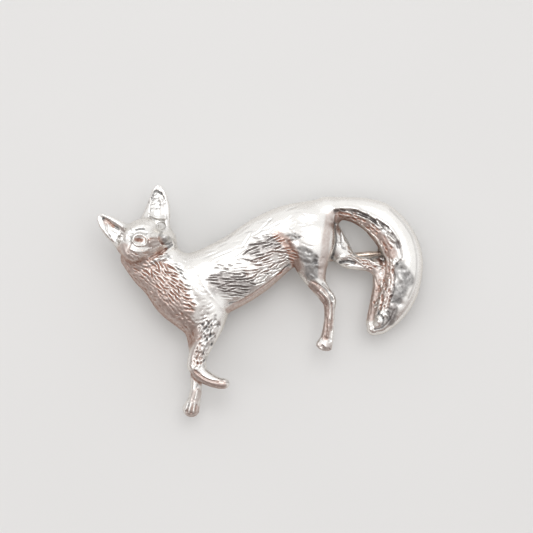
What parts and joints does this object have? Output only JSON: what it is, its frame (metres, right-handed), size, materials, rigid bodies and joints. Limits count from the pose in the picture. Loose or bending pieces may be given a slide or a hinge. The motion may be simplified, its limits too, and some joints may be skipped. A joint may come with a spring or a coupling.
{
  "type": "walking fox brooch",
  "caption": "Cast silver brooch of a walking fox with its head turned to the viewer and a long tail, with a hinged pin and a plain catch on its flat back.",
  "frame": {"origin": "middle of the outline seen from the front, on the surface that the hinge lugs and the catch rest on", "axes": "+X from the chest to the tail, +Y from the feet to the ears, +Z out of the flank that faces the viewer"},
  "size_m": [0.0352, 0.0282, 0.0096],
  "materials": {
    "cast_silver": "cast sterling silver, polished on the raised forms, with dull grey cast texture in the fur and the recesses",
    "pin_wire": "drawn hard silver wire, bright"
  },
  "bodies": {
    "root": {"fox_figure": "cast_silver", "pin_stem": "pin_wire", "hinge_rivet": "pin_wire"}
  },
  "joints": []
}
